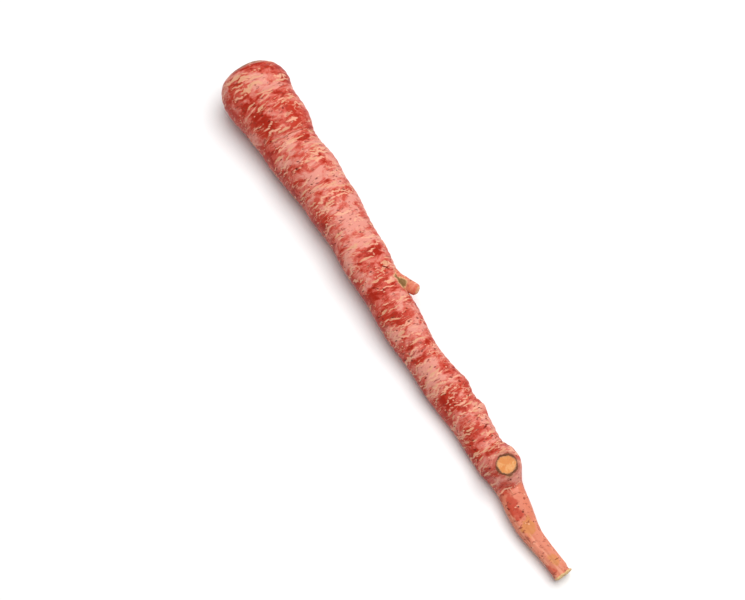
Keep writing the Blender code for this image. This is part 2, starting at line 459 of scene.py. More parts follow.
# Tan scars that stand out: place, turn, half width along, half length around, slant.
MAIN_SCARS = (
    (5.0, 62.0, 0.50, 4.2, 0.04),
    (7.5, 44.0, 0.45, 3.4, 0.06),
    (9.6, 118.0, 0.55, 4.2, -0.02),
    (12.0, 108.0, 1.00, 4.4, 0.02),
    (14.4, 88.0, 0.50, 6.0, 0.02),
    (16.8, 104.0, 0.55, 7.5, -0.02),
    (18.6, 54.0, 0.50, 4.6, 0.08),
    (21.0, 84.0, 0.45, 6.5, 0.02),
    (23.2, 126.0, 0.45, 3.6, -0.06),
    (24.4, 96.0, 0.42, 5.2, 0.00),
    (27.6, 112.0, 0.40, 3.8, -0.04),
    (31.0, 50.0, 0.80, 4.0, 0.10),
    (40.0, 95.0, 0.50, 4.6, 0.00),
    (42.6, 120.0, 0.45, 3.4, -0.04),
    (50.5, 82.0, 0.50, 5.0, 0.04),
    (53.0, 104.0, 0.40, 3.6, 0.00),
    (74.6, 108.0, 0.70, 5.0, -0.02),
    (77.0, 84.0, 0.60, 5.4, 0.04),
    (84.5, 108.0, 0.55, 4.0, 0.02),
    (99.0, 124.0, 0.70, 3.4, -0.10),
    (108.0, 112.0, 0.60, 4.2, 0.00),
    (115.5, 96.0, 0.45, 5.0, 0.04),
    (120.0, 56.0, 1.40, 2.0, 0.20),
    (126.0, 104.0, 0.45, 3.2, 0.00),
    (140.0, 126.0, 0.80, 2.2, -0.06),
    (152.0, 118.0, 0.60, 2.6, 0.00),
    (158.0, 92.0, 0.45, 4.4, 0.04),
    (175.0, 100.0, 0.50, 3.8, 0.04),
    (194.0, 72.0, 0.45, 3.4, 0.06),
    (204.0, 110.0, 0.50, 2.8, 0.00),
)

# Patches of skin that are paler (above nought) or barer than the rest: distance from the rim,
# turn, half length along and around in millimetres, and by how much.
MAIN_PATCHES = (
    (12.0, 132.0, 7.0, 6.0, -0.30),
    (9.0, 88.0, 5.0, 8.0, 0.14),
    (28.0, 62.0, 6.0, 8.0, -0.06),
    (31.0, 130.0, 7.0, 5.0, -0.25),
    (45.0, 68.0, 2.6, 6.0, -0.22),
    (61.0, 98.0, 7.5, 7.0, 0.20),
    (70.5, 84.0, 2.6, 5.0, -0.30),
    (79.0, 88.0, 3.4, 6.0, -0.30),
    (90.0, 76.0, 7.0, 7.0, 0.20),
    (101.0, 84.0, 6.0, 7.5, 0.22),
    (108.5, 80.0, 2.6, 6.0, -0.26),
    (113.0, 110.0, 4.5, 4.5, -0.26),
    (120.0, 70.0, 4.0, 6.0, -0.10),
    (134.0, 84.0, 4.5, 6.0, 0.20),
    (142.0, 102.0, 4.0, 4.0, -0.28),
    (150.0, 82.0, 6.0, 5.5, 0.20),
    (161.5, 100.0, 2.2, 6.0, -0.22),
    (169.0, 98.0, 5.0, 5.5, 0.18),
    (183.0, 100.0, 4.5, 5.0, -0.30),
    (191.0, 84.0, 3.0, 4.0, -0.24),
    (200.0, 104.0, 3.5, 4.0, -0.26),
    (207.0, 92.0, 4.5, 5.0, 0.20),
    (227.0, 96.0, 5.0, 8.0, 0.22),
)

# Stains on the tail, given as the patches are: ochre above nought and red below.
TAIL_STAINS = (
    (237.5, 116.0, 7.5, 3.2, -1.0),
    (243.0, 330.0, 9.0, 4.0, -1.0),
    (248.0, 96.0, 4.2, 4.0, 1.0),
    (257.0, 240.0, 5.0, 4.0, 1.0),
    (265.0, 84.0, 3.6, 3.0, 0.8),
    (268.0, 160.0, 3.0, 3.0, -0.7),
)

# Pits that stand out, given as the scars are.
MAIN_PITS = (
    (62.5, 122.0, 0.7, 0.8, 0.3),
    (75.0, 128.0, 0.5, 0.9, -0.4),
    (122.0, 62.0, 0.5, 2.6, 0.7),
    (206.0, 62.0, 0.45, 2.4, -0.4),
)


def patched(at, turn, radius, patches, wobble):
    """The sum of rounded patches with ragged borders."""
    total = np.zeros_like(at)
    for place, degrees, half_length, half_width, strength in patches:
        away = around_from(turn, degrees) * radius
        reach = np.hypot((at - place) / half_length, away / half_width) + wobble
        total += strength * (1 - smooth(0.65, 1.15, reach))
    return total


def build_fields(settings, at, along, turn, radius, points):
    """Every mark on the skin, as fields over its grid, and how far each lifts the surface."""
    rng = np.random.default_rng(11)
    rows = along[:, 0]
    strip = np.stack([along, radius * np.cos(turn), radius * np.sin(turn)], axis=-1)
    wobble = 1.6 * (noise(strip, 2.6, 3) - 0.5) + 0.8 * (noise(strip, 1.1, 4) - 0.5)
    narrow = np.array([1.0, 0.55, 0.55])
    edge = layered(strip, 2.2, 21)

    scars = np.concatenate([
        MAIN_SCARS,
        scattered(rng, settings.scars // 5, 2, 60, (0.28, 0.48), (2.0, 5.5), 0.14),
        scattered(rng, settings.scars * 3 // 5, 50, 232, (0.25, 0.45), (1.2, 4.2), 0.2),
        scattered(rng, settings.scars // 5, 195, 232, (0.3, 0.6), (1.0, 3.0), 0.4),
    ])
    scar = lens_marks(rows, along, turn, radius, scars, wobble)
    lines = scattered(rng, settings.lines, 2, 236, (0.28, 0.40), (2.5, 9.0), 0.14)
    line = lens_marks(rows, along, turn, radius, lines, 1.6 * wobble)
    pits = np.concatenate([
        MAIN_PITS,
        scattered(rng, settings.pits, 20, 236, (0.30, 0.45), (0.4, 1.1), 0.6),
        scattered(rng, 26, 232, 270, (0.3, 0.5), (0.4, 0.8), 0.6),
    ])
    pit = lens_marks(rows, along, turn, radius, pits, 0.4 * wobble)
    dots = scattered(rng, settings.dots, 2, 262, (0.34, 0.55), (0.35, 0.8), 0.3)
    dot = lens_marks(rows, along, turn, radius, dots, 0.2 * wobble)

    # Painted light: the skin is made paler on its upper side, turned 58 degrees towards +Y where the
    # light falls, and deeper red on the shaded side opposite.
    painted_lit_side = 1.8 * smooth(-0.7, 0.45, np.cos(turn - np.radians(58.0))) - 0.8
    middle = smooth(22, 50, at) * (1 - 0.6 * smooth(150, 215, at))
    patches = layered(strip * narrow, 9.0, 31, 4)
    # The pale field holds real patches of bloom and the painted lit side above.
    bloom = 0.9 * (patches - 0.5) + painted_lit_side * (0.10 + 0.10 * middle) + settings.bloom_cover
    tail = smooth(220, 240, at + 8 * (edge - 0.5))
    hollow = smooth(0.4, 1.0, (HOLLOW_RADIUS + HOLLOW_LIP - radius) * (at < SHOULDER_AT))
    rim = (1 - smooth(0.0, 2.8, at + 2.0 * (edge - 0.5))) * (1 - hollow)
    cut = smooth(LENGTH - 1.2, LENGTH - 0.5, at + 1.5 * (edge - 0.5))
    stain = patched(at, turn, radius, TAIL_STAINS, 1.4 * (edge - 0.5))
    bloom += patched(at, turn, radius, MAIN_PATCHES, 1.6 * (edge - 0.5))

    lift = 0.30 * (layered(strip * narrow, 6.0, 61) - 0.5)
    lift += 0.14 * np.clip(scar, 0, 0.5) - 0.24 * smooth(0.45, 0.9, scar)
    lift += -0.18 * np.clip(line, 0, 1) - 0.26 * np.clip(pit, 0, 1) + 0.06 * np.clip(dot, 0, 1)
    ripple = np.sin(1.9 * along + 4.0 * noise(strip, 9.0, 71)) * noise(strip, 8.0, 72)
    lift += 0.16 * ripple * (1 - tail)
    furrow = np.sin(5 * turn + 3.0 * noise(strip, 14.0, 73)) + 0.6 * np.sin(11 * turn + at / 9)
    lift += tail * (0.22 * furrow * noise(strip, 10.0, 74) + 0.5 * (layered(strip, 5.0, 75) - 0.5))
    lift *= smooth(-2.0, 3.0, at) * (1 - hollow)
    lift += 0.30 * (layered(strip * np.array([1.0, 2.0, 2.0]), 2.4, 76) - 0.5) * rim
    lift -= 0.5 * tail * (1 - cut)
    lift += 0.5 * smooth(LENGTH - 4.0, LENGTH - 1.5, at) * (1 - cut) * np.cos(turn - 3.4)

    away = distance_to(CUT_STUMP, points)[0]
    collar = (1 - smooth(4.6, 7.5, away + 1.2 * (edge - 0.5))) * (points[..., 2] > 9.0)
    foot, past = distance_to(BROKEN_STUMP, points)
    torn = 1 - smooth(2.6, 6.4, np.hypot(foot, 0.5 * (past + 9.0)) + 3.0 * (edge - 0.5))
    return {
        "strip": strip,
        "marks": np.stack([scar, line, pit, dot], axis=-1),
        "zones": np.stack([bloom, tail, cut, stain], axis=-1),
        "places": np.stack([hollow, collar, rim, torn], axis=-1),
    }, lift


# ---------------------------------------------------------------- materials

FACTOR, FIRST, SECOND, MIXED = 0, 6, 7, 2  # the colour sockets of a Mix node


def add_node(tree, kind, inputs=None, **settings):
    """Adds a node, applies its settings, and sets or links each input by name or number."""
    made = tree.nodes.new(kind)
    for name, value in settings.items():
        setattr(made, name, value)
    for socket, value in (inputs or {}).items():
        if isinstance(value, bpy.types.NodeSocket):
            tree.links.new(value, made.inputs[socket])
        else:
            made.inputs[socket].default_value = value
    return made


def new_material(name):
    """A material, its node tree and its one Principled shader."""
    material = bpy.data.materials.new(name)
    material.use_nodes = True
    tree = material.node_tree
    return material, tree, tree.nodes["Principled BSDF"]


def share_past(tree, factor, low, high, most=1.0):
    """How far a factor has passed from low to high, eased at both ends, from 0 to the most."""
    return add_node(
        tree,
        "ShaderNodeMapRange",
        {0: factor, 1: low, 2: high, 3: 0.0, 4: most},
        interpolation_type="SMOOTHSTEP",
    ).outputs[0]


def lay(tree, below, above, factor, low, high, strength=1.0, rough=None, ragged=0.0):
    """Lays a colour over another where a factor passes from low to high. A rough field, half
    of which is nought, makes the border ragged."""
    if rough is not None:
        factor = add_node(
            tree, "ShaderNodeMath", {0: rough, 1: ragged, 2: factor}, operation="MULTIPLY_ADD"
        ).outputs[0]
        low, high = low + ragged / 2, high + ragged / 2
    share = share_past(tree, factor, low, high, strength)
    return add_node(
        tree,
        "ShaderNodeMix",
        {FACTOR: share, FIRST: below, SECOND: (*above, 1.0)},
        data_type="RGBA",
    ).outputs[MIXED]


def grain_of(tree, vector, stretch, scale, detail=3.0, roughness=0.6, distortion=0.0):
    """Noise over a vector of millimetres, stretched by a share along each of its axes."""
    mapped = add_node(tree, "ShaderNodeMapping", {"Vector": vector, "Scale": stretch})
    return add_node(
        tree,
        "ShaderNodeTexNoise",
        {
            "Vector": mapped.outputs[0],
            "Scale": scale,
            "Detail": detail,
            "Roughness": roughness,
            "Distortion": distortion,
        },
    ).outputs[0]


def bend(tree, shader, height, depth):
    """Roughens a shader's surface by a height field, its depth in millimetres."""
    bump = add_node(tree, "ShaderNodeBump", {"Distance": depth * MM, "Height": height})
    tree.links.new(bump.outputs[0], shader.inputs["Normal"])


def combine(tree, operation, first, second):
    """The result of one sum on two values or sockets."""
    return add_node(tree, "ShaderNodeMath", {0: first, 1: second}, operation=operation).outputs[0]


def carrot_skin(look):
    """Fresh carrot skin, washed and drying. The eye gets thin satin skin over deep red flesh,
    a pale matt bloom where it dries, painted light that makes its lit upper side paler, corky tan
    scars across it, and pits painted dark as shade in their cavities."""
    material, tree, shader = new_material("fresh_carrot_skin")
    shader.inputs["IOR"].default_value = 1.40
    shader.inputs["Specular IOR Level"].default_value = 0.14
    shader.inputs["Subsurface Weight"].default_value = 0.08
    shader.inputs["Subsurface Radius"].default_value = (1.0, 0.45, 0.3)
    shader.inputs["Subsurface Scale"].default_value = 1.0 * MM
    strip = add_node(tree, "ShaderNodeAttribute", attribute_name="strip").outputs["Vector"]
    marks_node = add_node(tree, "ShaderNodeAttribute", attribute_name="marks")
    zones_node = add_node(tree, "ShaderNodeAttribute", attribute_name="zones")
    places_node = add_node(tree, "ShaderNodeAttribute", attribute_name="places")
    marks = add_node(tree, "ShaderNodeSeparateColor", {0: marks_node.outputs["Color"]})
    zones = add_node(tree, "ShaderNodeSeparateColor", {0: zones_node.outputs["Color"]})
    places = add_node(tree, "ShaderNodeSeparateColor", {0: places_node.outputs["Color"]})
    scar, line, pit = (marks.outputs[k] for k in range(3))
    dot, stain, torn = (node.outputs["Alpha"] for node in (marks_node, zones_node, places_node))
    bloom, tail, cut = (zones.outputs[k] for k in range(3))
    hollow, collar, rim = (places.outputs[k] for k in range(3))

    fine = grain_of(tree, strip, (1.0, 0.7, 0.7), 1.3)
    broad = grain_of(tree, strip, (1.0, 1.0, 1.0), 0.11, 3.0)
    mottle = grain_of(tree, strip, (1.0, 0.5, 0.5), 0.24, 5.0, 0.62, 0.5)
    wisps = grain_of(tree, strip, (1.0, 0.25, 0.25), 0.42, 2.0, 0.5, 1.0)
    dashes = grain_of(tree, strip, (1.0, 0.4, 0.4), 1.0, 2.0)
    lengthwise = grain_of(tree, strip, (0.12, 1.0, 1.0), 0.5, 3.0)
    level = combine(tree, "SUBTRACT", wisps, 0.5)
    contour = add_node(tree, "ShaderNodeMath", {0: level}, operation="ABSOLUTE").outputs[0]
    body = combine(tree, "SUBTRACT", 1.0, tail)
    pale = add_node(
        tree,
        "ShaderNodeMath",
        {0: mottle, 1: 2.0, 2: combine(tree, "SUBTRACT", bloom, 0.5)},
        operation="MULTIPLY_ADD",
    ).outputs[0]

    shade = lay(tree, (*look["deep_red"], 1.0), look["red"], broad, 0.36, 0.60)
    # The paler tones follow the pale field, so besides the bloom they paint the lit upper side lighter
    # and leave the shaded side deep red.
    shade = lay(tree, shade, look["rose"], pale, 0.80, 0.92, 0.9)
    shade = lay(tree, shade, look["pink"], pale, 0.95, 1.05, 0.9)
    shade = lay(tree, shade, look["bloom"], pale, 1.08, 1.22, 0.9)
    shade = lay(tree, shade, look["salmon"], tail, 0.20, 0.80, 0.85, mottle, 0.5)
    # Painted highlights: pale lengthwise streaks along the tail.
    streak = combine(tree, "MULTIPLY", tail, lengthwise)
    shade = lay(tree, shade, look["peach"], streak, 0.50, 0.64, 0.8)
    stained = combine(tree, "MULTIPLY", stain, tail)
    shade = lay(tree, shade, look["ochre"], stained, 0.05, 0.95, 0.75, fine, 0.5)
    shade = lay(tree, shade, look["red"], stained, -0.05, -0.95, 0.8)
    blotch = combine(tree, "MULTIPLY", tail, grain_of(tree, strip, (0.5, 1.0, 1.0), 0.45, 3.0))
    shade = lay(tree, shade, look["dusk"], blotch, 0.63, 0.72, 0.6)
    shade = lay(tree, shade, look["dusk"], dashes, 0.57, 0.70, 0.75)
    wisp = combine(tree, "MULTIPLY", body, share_past(tree, contour, 0.030, 0.006))
    wisp = combine(tree, "MULTIPLY", wisp, share_past(tree, broad, 0.40, 0.62))
    shade = lay(tree, shade, look["ring"], wisp, 0.05, 0.8, 0.55)
    shade = lay(tree, shade, look["ring"], line, 0.02, 0.35, 0.85, fine, 0.35)
    shade = lay(tree, shade, look["ring"], dot, 0.10, 0.50, 0.85)
    shade = lay(tree, shade, look["scar"], scar, 0.05, 0.35, 0.9, fine, 0.45)
    shade = lay(tree, shade, look["scar_dark"], scar, 0.66, 0.95, 0.45, fine, 0.7)
    shade = lay(tree, shade, look["cut"], torn, 0.30, 0.60, 0.6, fine, 0.8)
    shade = lay(tree, shade, look["olive"], torn, 0.55, 0.95, 0.9, fine, 0.5)
    # Painted shade: the pits are painted near black red, as shade in their small cavities.
    shade = lay(tree, shade, look["pit"], pit, 0.05, 0.50, 0.95)
    # A darker ring of skin round the cut stump, and at its foot a bark-brown ring that is painted shade
    # of the narrow gap where the skin meets the stump.
    shade = lay(tree, shade, look["dusk"], collar, 0.20, 0.70, 0.45, fine, 0.4)
    shade = lay(tree, shade, look["bark_and_gap_shade"], collar, 0.86, 1.0, 0.85, fine, 0.2)
    shade = lay(tree, shade, look["olive"], rim, 0.25, 1.05, 0.75, mottle, 1.6)
    shade = lay(tree, shade, look["hollow"], hollow, 0.30, 0.70)
    shade = lay(tree, shade, look["cut"], cut, 0.30, 0.70)
    tree.links.new(shade, shader.inputs["Base Color"])

    matt = combine(tree, "MAXIMUM", scar, combine(tree, "MULTIPLY", pale, 0.4))
    rough = add_node(tree, "ShaderNodeMapRange", {0: matt, 1: 0.3, 2: 0.8, 3: 0.40, 4: 0.65})
    tree.links.new(rough.outputs[0], shader.inputs["Roughness"])
    bend(tree, shader, combine(tree, "ADD", dashes, mottle), 0.22)
    return material


def cut_flesh(look):
    """Carrot flesh cut across some days ago. The eye gets a dry matt orange with paler blotches
    and a brown, shrunken edge of bark."""
    material, tree, shader = new_material("dried_cut_flesh")
    shader.inputs["Roughness"].default_value = 0.6
    shader.inputs["Subsurface Weight"].default_value = 0.1
    shader.inputs["Subsurface Scale"].default_value = 1.0 * MM
    place = add_node(tree, "ShaderNodeAttribute", attribute_name="strip").outputs["Vector"]
    marks = add_node(tree, "ShaderNodeAttribute", attribute_name="marks").outputs["Color"]
    share = add_node(tree, "ShaderNodeSeparateColor", {0: marks}).outputs[0]
    fine = grain_of(tree, place, (1.0, 1.0, 1.0), 0.9, 4.0)
    broad = grain_of(tree, place, (1.0, 1.0, 1.0), 0.25, 3.0)
    shade = (*look["flesh"], 1.0)
    shade = lay(tree, shade, look["flesh_pale"], broad, 0.46, 0.62, 0.9, fine, 0.2)
    shade = lay(tree, shade, look["scar"], fine, 0.60, 0.75, 0.6)
    shade = lay(tree, shade, look["scar_dark"], share, 0.82, 0.95, 0.8, fine, 0.55)
    shade = lay(tree, shade, look["bark_and_gap_shade"], share, 0.93, 1.0, 0.95, fine, 0.35)
    tree.links.new(shade, shader.inputs["Base Color"])
    bend(tree, shader, fine, 0.25)
    return material


def dry_stalk(look):
    """Leaf stalk cut short and dried. The eye gets matt tan straw, with fibres that run up it; it is
    darker towards the foot of each stalk and of the bud, and some torn fibres are darker than others."""
    material, tree, shader = new_material("dried_leaf_stalk")
    shader.inputs["Roughness"].default_value = 0.85
    place = add_node(tree, "ShaderNodeAttribute", attribute_name="strip").outputs["Vector"]
    marks = add_node(tree, "ShaderNodeAttribute", attribute_name="marks").outputs["Color"]
    dark = add_node(tree, "ShaderNodeSeparateColor", {0: marks}).outputs[0]
    fibres = grain_of(tree, place, (1.0, 1.0, 0.2), 2.2, 4.0)
    shade = lay(tree, (*look["stalk"], 1.0), look["stalk_pale"], fibres, 0.46, 0.60, 0.85)
    shade = lay(tree, shade, look["stalk_dark"], dark, 0.45, 0.80, 0.85, fibres, 0.5)
    tree.links.new(shade, shader.inputs["Base Color"])
    bend(tree, shader, fibres, 0.25)
    return material


# The lesser colours. The main ones are settings.
LESSER = {
    "dusk": "#8C3A2A",
    "peach": "#E49C80",
    "ochre": "#D0864A",
    "ring": "#E8AC8E",
    "scar_dark": "#9A6A48",
    "pit": "#64180A",
    "olive": "#7A5A30",
    # also the painted shade in the gap round the cut stump
    "bark_and_gap_shade": "#5C381C",
    "hollow": "#7E4428",
    "cut": "#E0BA84",
    "stalk_pale": "#D8B684",
    "stalk_dark": "#5E3E24",
}
MAIN_COLOURS = (
    ("deep_red", "#A42414", "Skin, in the deep of it"),
    ("red", "#BA3826", "Skin where it is bare"),
    # Rose, pink and the palest tone are laid over the bloom and over the painted lit side.
    ("rose", "#C85344", "Skin under the thinnest bloom"),
    ("pink", "#D37364", "Skin under thin bloom"),
    ("bloom", "#DE9384", "Skin under full bloom"),
    ("salmon", "#DA8468", "Skin of the tail"),
    ("scar", "#DCA280", "Corky scars"),
    ("flesh", "#D4843E", "Cut flesh"),
    ("flesh_pale", "#DF9E5E", "Paler blotches in cut flesh"),
    ("stalk", "#B58E5C", "Dried leaf stalks"),
)




def make_skin(settings, material):
    """The skin: rings around the middle line, each point moved off the round by the slow waves
    and swellings, then along its normal by the height of the marks on it."""
    ring_at, ring_radius, even = skin_rings()
    turn = np.linspace(0.0, 2 * np.pi, AROUND, endpoint=False)[None, :]
    at = ring_at[:, None] + 0 * turn
    turn = turn + 0 * at
    radius = ring_radius[:, None] + even[:, None] * unevenness(at, turn)
    place, _, side, up = frames_at(ring_at)
    points = place[:, None] + radius[..., None] * (
        np.cos(turn)[..., None] * side[:, None] + np.sin(turn)[..., None] * up[:, None]
    )
    step = np.hypot(np.diff(ring_at), np.diff(ring_radius))
    along = np.concatenate([[0.0], np.cumsum(step)])
    along -= along[FLOOR_RINGS + WALL_RINGS - 1]  # so that it is nought at the rim
    along = along[:, None] + 0 * turn
    fields, lift = build_fields(settings, at, along, turn, radius, points)
    points = points + normals_of(points) * lift[..., None]
    points = raise_collar(points)
    points[..., 2] = np.maximum(points[..., 2], 0.0)
    return surface("carrot_skin", points, fields, material, ["taproot"])


def raise_collar(points):
    """Draws the skin up round the cut stump: level with its face at its edge, easing back to
    the root's own surface away from it, and sunk out of sight under the face."""
    _, way, _ = stump_frame(CUT_STUMP)
    away, past = distance_to(CUT_STUMP, points)
    ease = (1 - smooth(4.6, 10.5, away)) * (past > -9.0)
    level = -0.15 - 1.2 * (1 - smooth(3.4, 4.3, away))
    return points + way * ((level - past) * ease)[..., None]


def ring_frame(way):
    """Two directions square to a third, for rings about it."""
    side = np.cross(way, (0.0, 0.0, 1.0) if abs(way[2]) < 0.9 else (1.0, 0.0, 0.0))
    side /= np.linalg.norm(side)
    return side, np.cross(way, side)


def make_cut_stump(material):
    """The cut face of a side root: rings up a sunk wall, over a worn edge and in to the middle
    of the face, which sinks a little and is roughened by noise."""
    start, way, length = stump_frame(CUT_STUMP)
    side, other = ring_frame(way)
    radius = CUT_STUMP["end"]
    worn = 0.4  # how far the edge is worn round
    wall = np.linspace(-3.0, -worn, 8)
    edge = np.linspace(0, np.pi / 2, 7)[1:]
    inward = np.linspace(1.0, 0.03, 30)[1:]
    level = np.concatenate([wall, -worn + worn * np.sin(edge), 0 * inward])
    reach = np.concatenate([
        radius + 0 * wall, radius - worn + worn * np.cos(edge), (radius - worn) * inward
    ])
    turn = np.linspace(0, 2 * np.pi, 96, endpoint=False)
    egg = 1 + 0.06 * np.cos(2 * turn + 0.6) + 0.04 * np.cos(3 * turn) + 0.02 * np.cos(7 * turn)
    flat = np.stack([reach[:, None] * egg * np.cos(turn), reach[:, None] * egg * np.sin(turn),
                     level[:, None] + 0 * turn], axis=-1)
    share = reach[:, None] / radius + 0 * turn
    rough = 0.35 * (layered(flat, 1.6, 81) - 0.5) - 0.25 * (1 - share**2)
    height = flat[..., 2] + rough * smooth(-0.5, -0.1, flat[..., 2])
    points = start + way * (length + height[..., None] + 0.05)
    points = points + flat[..., :1] * side + flat[..., 1:2] * other
    fields = {"strip": flat, "marks": np.stack([share] * 4, axis=-1)}
    return surface("cut_side_root", points, fields, material)


def make_broken_stump(material):
    """The stump of a side root that broke off: rings along a line that leans towards the tip,
    flared where it leaves the root, thinning, and rounded off roughly at its end."""
    start, way, length = stump_frame(BROKEN_STUMP)
    side, other = ring_frame(way)
    foot, end = BROKEN_STUMP["foot"], BROKEN_STUMP["end"]
    rounding = 1.6  # the length of the rounded end
    run = np.linspace(0, length - rounding, 56)
    cap = np.linspace(0, np.pi / 2, 16)[1:]
    along = np.concatenate([run, length - rounding + rounding * np.sin(cap)])
    flare = 0.8 * np.exp(-run / 2.5)
    body = foot + (end - foot) * (run / run[-1]) ** 0.8 + flare
    reach = np.concatenate([body, end * np.maximum(np.cos(cap), 0.04) ** 0.8])
    turn = np.linspace(0, 2 * np.pi, 72, endpoint=False)[None, :]
    along = along[:, None] + 0 * turn
    apart = 300  # so that the stump's noise is its own
    strip = np.stack([
        along + apart, reach[:, None] * np.cos(turn), reach[:, None] * np.sin(turn)
    ], axis=-1)
    edge = layered(strip, 2.2, 91)
    lumps = 0.8 * (layered(strip, 4.0, 92) - 0.5)
    reach = reach[:, None] * (1 + 0.10 * np.cos(2 * turn + 1)) + lumps * smooth(0, 2, reach[:, None])
    top = around_from(turn + 0 * along, -80.0) / 1.1
    sunk = 1 - smooth(0.4, 1.3, np.hypot((along - 6.6) / 3.4, top) + 1.0 * (edge - 0.5))
    reach = reach - 0.9 * sunk
    bend = 0.8 * (along / length) ** 2
    points = start + way * along[..., None]
    points = points + side * (reach * np.cos(turn) + bend)[..., None]
    points = points + other * (reach * np.sin(turn))[..., None]
    rng = np.random.default_rng(5)
    marks = scattered(rng, 14, apart + 2, apart + 12, (0.3, 0.5), (0.8, 2.4), 0.3)
    rows = strip[:, 0, 0]
    line = lens_marks(rows, strip[..., 0], turn + 0 * along, reach, marks, edge - 0.5)
    broken = smooth(length - 1.4, length - 0.2, along + edge - 0.5)
    none = np.zeros_like(edge)
    fields = {
        "strip": strip,
        "marks": np.stack([none, line, none, none], axis=-1),
        "zones": np.stack([0.60 + none, 0.5 + none, none, edge], axis=-1),
        "places": np.stack([none, none, none, np.maximum(0.5 * broken, sunk)], axis=-1),
    }
    return surface("broken_side_root", points, fields, material)


def on_skin(at, turn, above):
    """Points a little above the root's skin at the given places and turns."""
    place, _, side, up = frames_at(at)
    radius = body_radius(at) + unevenness(at, turn) + above
    return place + radius[..., None] * (
        np.cos(turn)[..., None] * side + np.sin(turn)[..., None] * up
    )


def tube_grids(paths, radii, sides=8):
    """Tubes along paths, one grid for each: rings square to the path, radius by place along."""
    along = np.gradient(paths, axis=1)
    along /= np.linalg.norm(along, axis=-1, keepdims=True)
    side = np.cross(along, (0.31, 0.22, 0.92))
    side /= np.linalg.norm(side, axis=-1, keepdims=True)
    other = np.cross(along, side)
    turn = np.linspace(0, 2 * np.pi, sides, endpoint=False)[:, None]
    ring = side[:, :, None] * np.cos(turn) + other[:, :, None] * np.sin(turn)
    return paths[:, :, None] + ring * radii[..., None, None]


# Fine rootlets that lie on the skin: where each starts and ends along the root, its turn at
# both, and its radius.
ROOTLETS = (
    (222.5, 233.0, 110.0, 92.0, 0.26),
    (224.0, 231.0, 116.0, 104.0, 0.18),
    (104.0, 110.0, 18.0, 26.0, 0.16),
    (62.0, 70.0, 196.0, 206.0, 0.18),
    (150.0, 158.0, 250.0, 236.0, 0.18),
    (181.0, 187.0, 330.0, 344.0, 0.16),
)


def make_rootlets(material):
    """Fine rootlets: tapering tubes on wavering lines just above the skin."""
    share = np.linspace(0, 1, 26)
    paths, radii = [], []
    for k, (first, last, turn_a, turn_b, thick) in enumerate(ROOTLETS):
        waver = 0.05 * np.sin(7 * share + k) * np.sin(np.pi * share)
        at = first + (last - first) * share
        turn = np.radians(turn_a + (turn_b - turn_a) * share**1.3) + waver
        paths.append(on_skin(at, turn, 0.12 + 0.5 * share**2))
        radii.append(thick * (1.02 - share) ** 0.5)
    points = tube_grids(np.array(paths), np.array(radii))
    count, rows, cols, _ = points.shape
    none = np.zeros((count, rows, cols))
    fields = {
        "strip": points,
        "marks": np.stack([none, none + 1, none, none], axis=-1),
        "zones": np.stack([none, none + 1, none, none], axis=-1),
        "places": np.stack([none, none, none, none], axis=-1),
    }
    return surface("rootlets", points, fields, material)


def in_crown(local):
    """Points given in the hollow of the crown, to the carrot's own millimetres. The third
    coordinate points out of the crown."""
    place, along, side, _ = frames_at(HOLLOW_DEPTH)
    out = -along
    return place + local[..., :1] * side + local[..., 1:2] * np.cross(out, side) + local[..., 2:] * out


def make_stalk(number, middle, thickness, degrees, half_width, height, material):
    """A leaf stalk's cut base: a crescent outline carried up from the hollow's floor, cut on a
    slant, and drawn in to its middle arc over a torn, fibrous top."""
    steps = 30
    share = np.linspace(-1, 1, steps)
    angle = np.radians(half_width) * np.concatenate([share, share[::-1]])
    half = thickness / 2 * np.sqrt(np.maximum(1 - share**2, 0.0))
    bulge = np.concatenate([half, -half[::-1]])
    climb = np.concatenate([np.zeros(4), np.linspace(0, 1, 16)[1:], np.ones(10)])
    draw = np.concatenate([np.linspace(0, 1, 5)[:4], np.ones(15), np.linspace(1, 0, 11)[1:]])
    reach = middle + draw[:, None] * bulge * (1 + 0.10 * climb[:, None])
    spread = angle + np.radians(degrees)
    flat = np.stack([reach * np.cos(spread), reach * np.sin(spread), 0 * reach], axis=-1)
    top = height + 0.05 * (flat[..., 0] - flat[..., 1])
    flat[..., 2] = 0.3 + climb[:, None] * top
    torn = layered(flat, 0.9, 100 + number, 3) - 0.45
    rim = smooth(0.8, 1.0, climb)[:, None]
    flat[..., 2] += 1.6 * torn * rim + 0.25 * (1 - draw[:, None] ** 2) * (climb[:, None] > 0.99)
    ridges = 0.12 * np.sin(14 * angle) * climb[:, None] * draw[:, None]
    flat[..., :2] *= (1 + ridges / middle)[..., None]
    dark = (1 - climb[:, None]) + 0 * reach
    fields = {
        "strip": flat + 20.0 * number,
        "marks": np.stack([dark] * 4, axis=-1),
    }
    name = f"leaf_stalk_{number}"
    points = in_crown(flat)
    return surface(name, points, fields, material, [f"stalk_base_{number}"], False)


def make_heart(material):
    """The bud between the stalks: a small blunt cone, folded into five scales."""
    turn = np.linspace(0, 2 * np.pi, 60, endpoint=False)
    climb = np.linspace(0, 1, 20)
    bulge = np.sqrt(np.maximum(1 - climb**2.2, 0.0006))
    folds = 1 + 0.16 * np.cos(5 * turn + 3 * climb[:, None]) * climb[:, None]
    reach = HEART_RADIUS * (0.25 + 0.75 * bulge[:, None]) * folds * np.where(climb < 1, 1, 0.1)[:, None]
    flat = np.stack([
        reach * np.cos(turn), reach * np.sin(turn), 0.3 + HEART_HEIGHT * climb[:, None] + 0 * turn
    ], axis=-1)
    dark = 0.9 - 0.6 * climb[:, None] + 0 * turn
    fields = {"strip": flat, "marks": np.stack([dark] * 4, axis=-1)}
    return surface("crown_bud", in_crown(flat), fields, material, ["heart_bud"])


